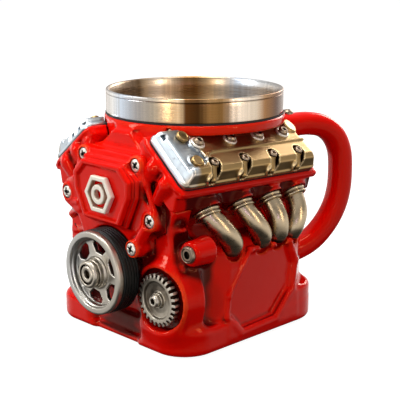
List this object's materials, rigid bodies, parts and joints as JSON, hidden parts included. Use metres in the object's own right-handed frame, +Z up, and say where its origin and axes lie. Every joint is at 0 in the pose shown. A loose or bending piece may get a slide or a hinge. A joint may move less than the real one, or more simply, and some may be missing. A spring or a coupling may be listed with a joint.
{
  "type": "engine-shaped drinking mug",
  "caption": "Drinking mug shaped like a V engine: steel cup in a red casting with valve covers, exhaust stubs, side grip, and a belt pulley and timing gear that spin.",
  "frame": {"origin": "centre of the flat underside, on the cup's axis, in the plane the mug stands on", "axes": "+Z up out of the cup; the pulley end faces -Y; the grip is towards +Y; +X is the bank on the side the grip leans to"},
  "size_m": [0.1016, 0.1543, 0.1149],
  "materials": {
    "red_enamel": "deep glossy red enamel over a resin casting",
    "antique_bronze": "antique bronze plating, satin with polished edges",
    "polished_steel": "polished stainless steel",
    "pewter": "warm grey die-cast metal, satin",
    "screw_nickel": "pale nickel",
    "dark_bolt": "dark browned steel",
    "belt_rubber": "black, fine grooves",
    "seal_rubber": "matt black",
    "gasket": "dark fibre gasket",
    "ivory": "ivory enamel",
    "foot_pad": "matt foam rubber"
  },
  "bodies": {
    "mug": {"engine_block": "red_enamel", "base_pad": "foot_pad", "cup_liner": "polished_steel", "rim_band": "polished_steel", "neck_seal": "seal_rubber", "front_cover": "red_enamel", "front_screws": "screw_nickel", "emblem": "ivory", "side_plug": "dark_bolt", "pulley_axle": "dark_bolt", "gear_bolt": "pewter", "handle": "red_enamel", "handle_bolt": "dark_bolt", "cylinder_head_right": "red_enamel", "cover_gasket_right": "gasket", "valve_cover_right": "antique_bronze", "cover_washers_right": "screw_nickel", "cover_bolts_right": "dark_bolt", "slot_bolts_right": "screw_nickel", "cover_caps_right": "antique_bronze", "exhaust_collars_right": "antique_bronze", "exhaust_pipe_1_right": "antique_bronze", "exhaust_pipe_2_right": "antique_bronze", "exhaust_pipe_3_right": "antique_bronze", "exhaust_pipe_4_right": "antique_bronze", "cylinder_head_left": "red_enamel", "cover_gasket_left": "gasket", "valve_cover_left": "antique_bronze", "cover_washers_left": "screw_nickel", "cover_bolts_left": "dark_bolt", "slot_bolts_left": "screw_nickel", "cover_caps_left": "antique_bronze", "exhaust_collars_left": "antique_bronze", "exhaust_pipe_1_left": "antique_bronze", "exhaust_pipe_2_left": "antique_bronze", "exhaust_pipe_3_left": "antique_bronze", "exhaust_pipe_4_left": "antique_bronze"},
    "pulley": {"crank_pulley": "pewter", "pulley_tyre": "belt_rubber", "pulley_nose": "pewter"},
    "gear": {"timing_gear": "pewter"}
  },
  "joints": [
    {"name": "pulley_spin", "type": "hinge", "parent": "mug", "child": "pulley", "pos_m": [0, -0.06, 0.035], "axis": [0, -1, 0], "continuous": true},
    {"name": "gear_spin", "type": "hinge", "parent": "mug", "child": "gear", "pos_m": [0.0315, -0.053, 0.027], "axis": [0, -1, 0], "continuous": true}
  ]
}
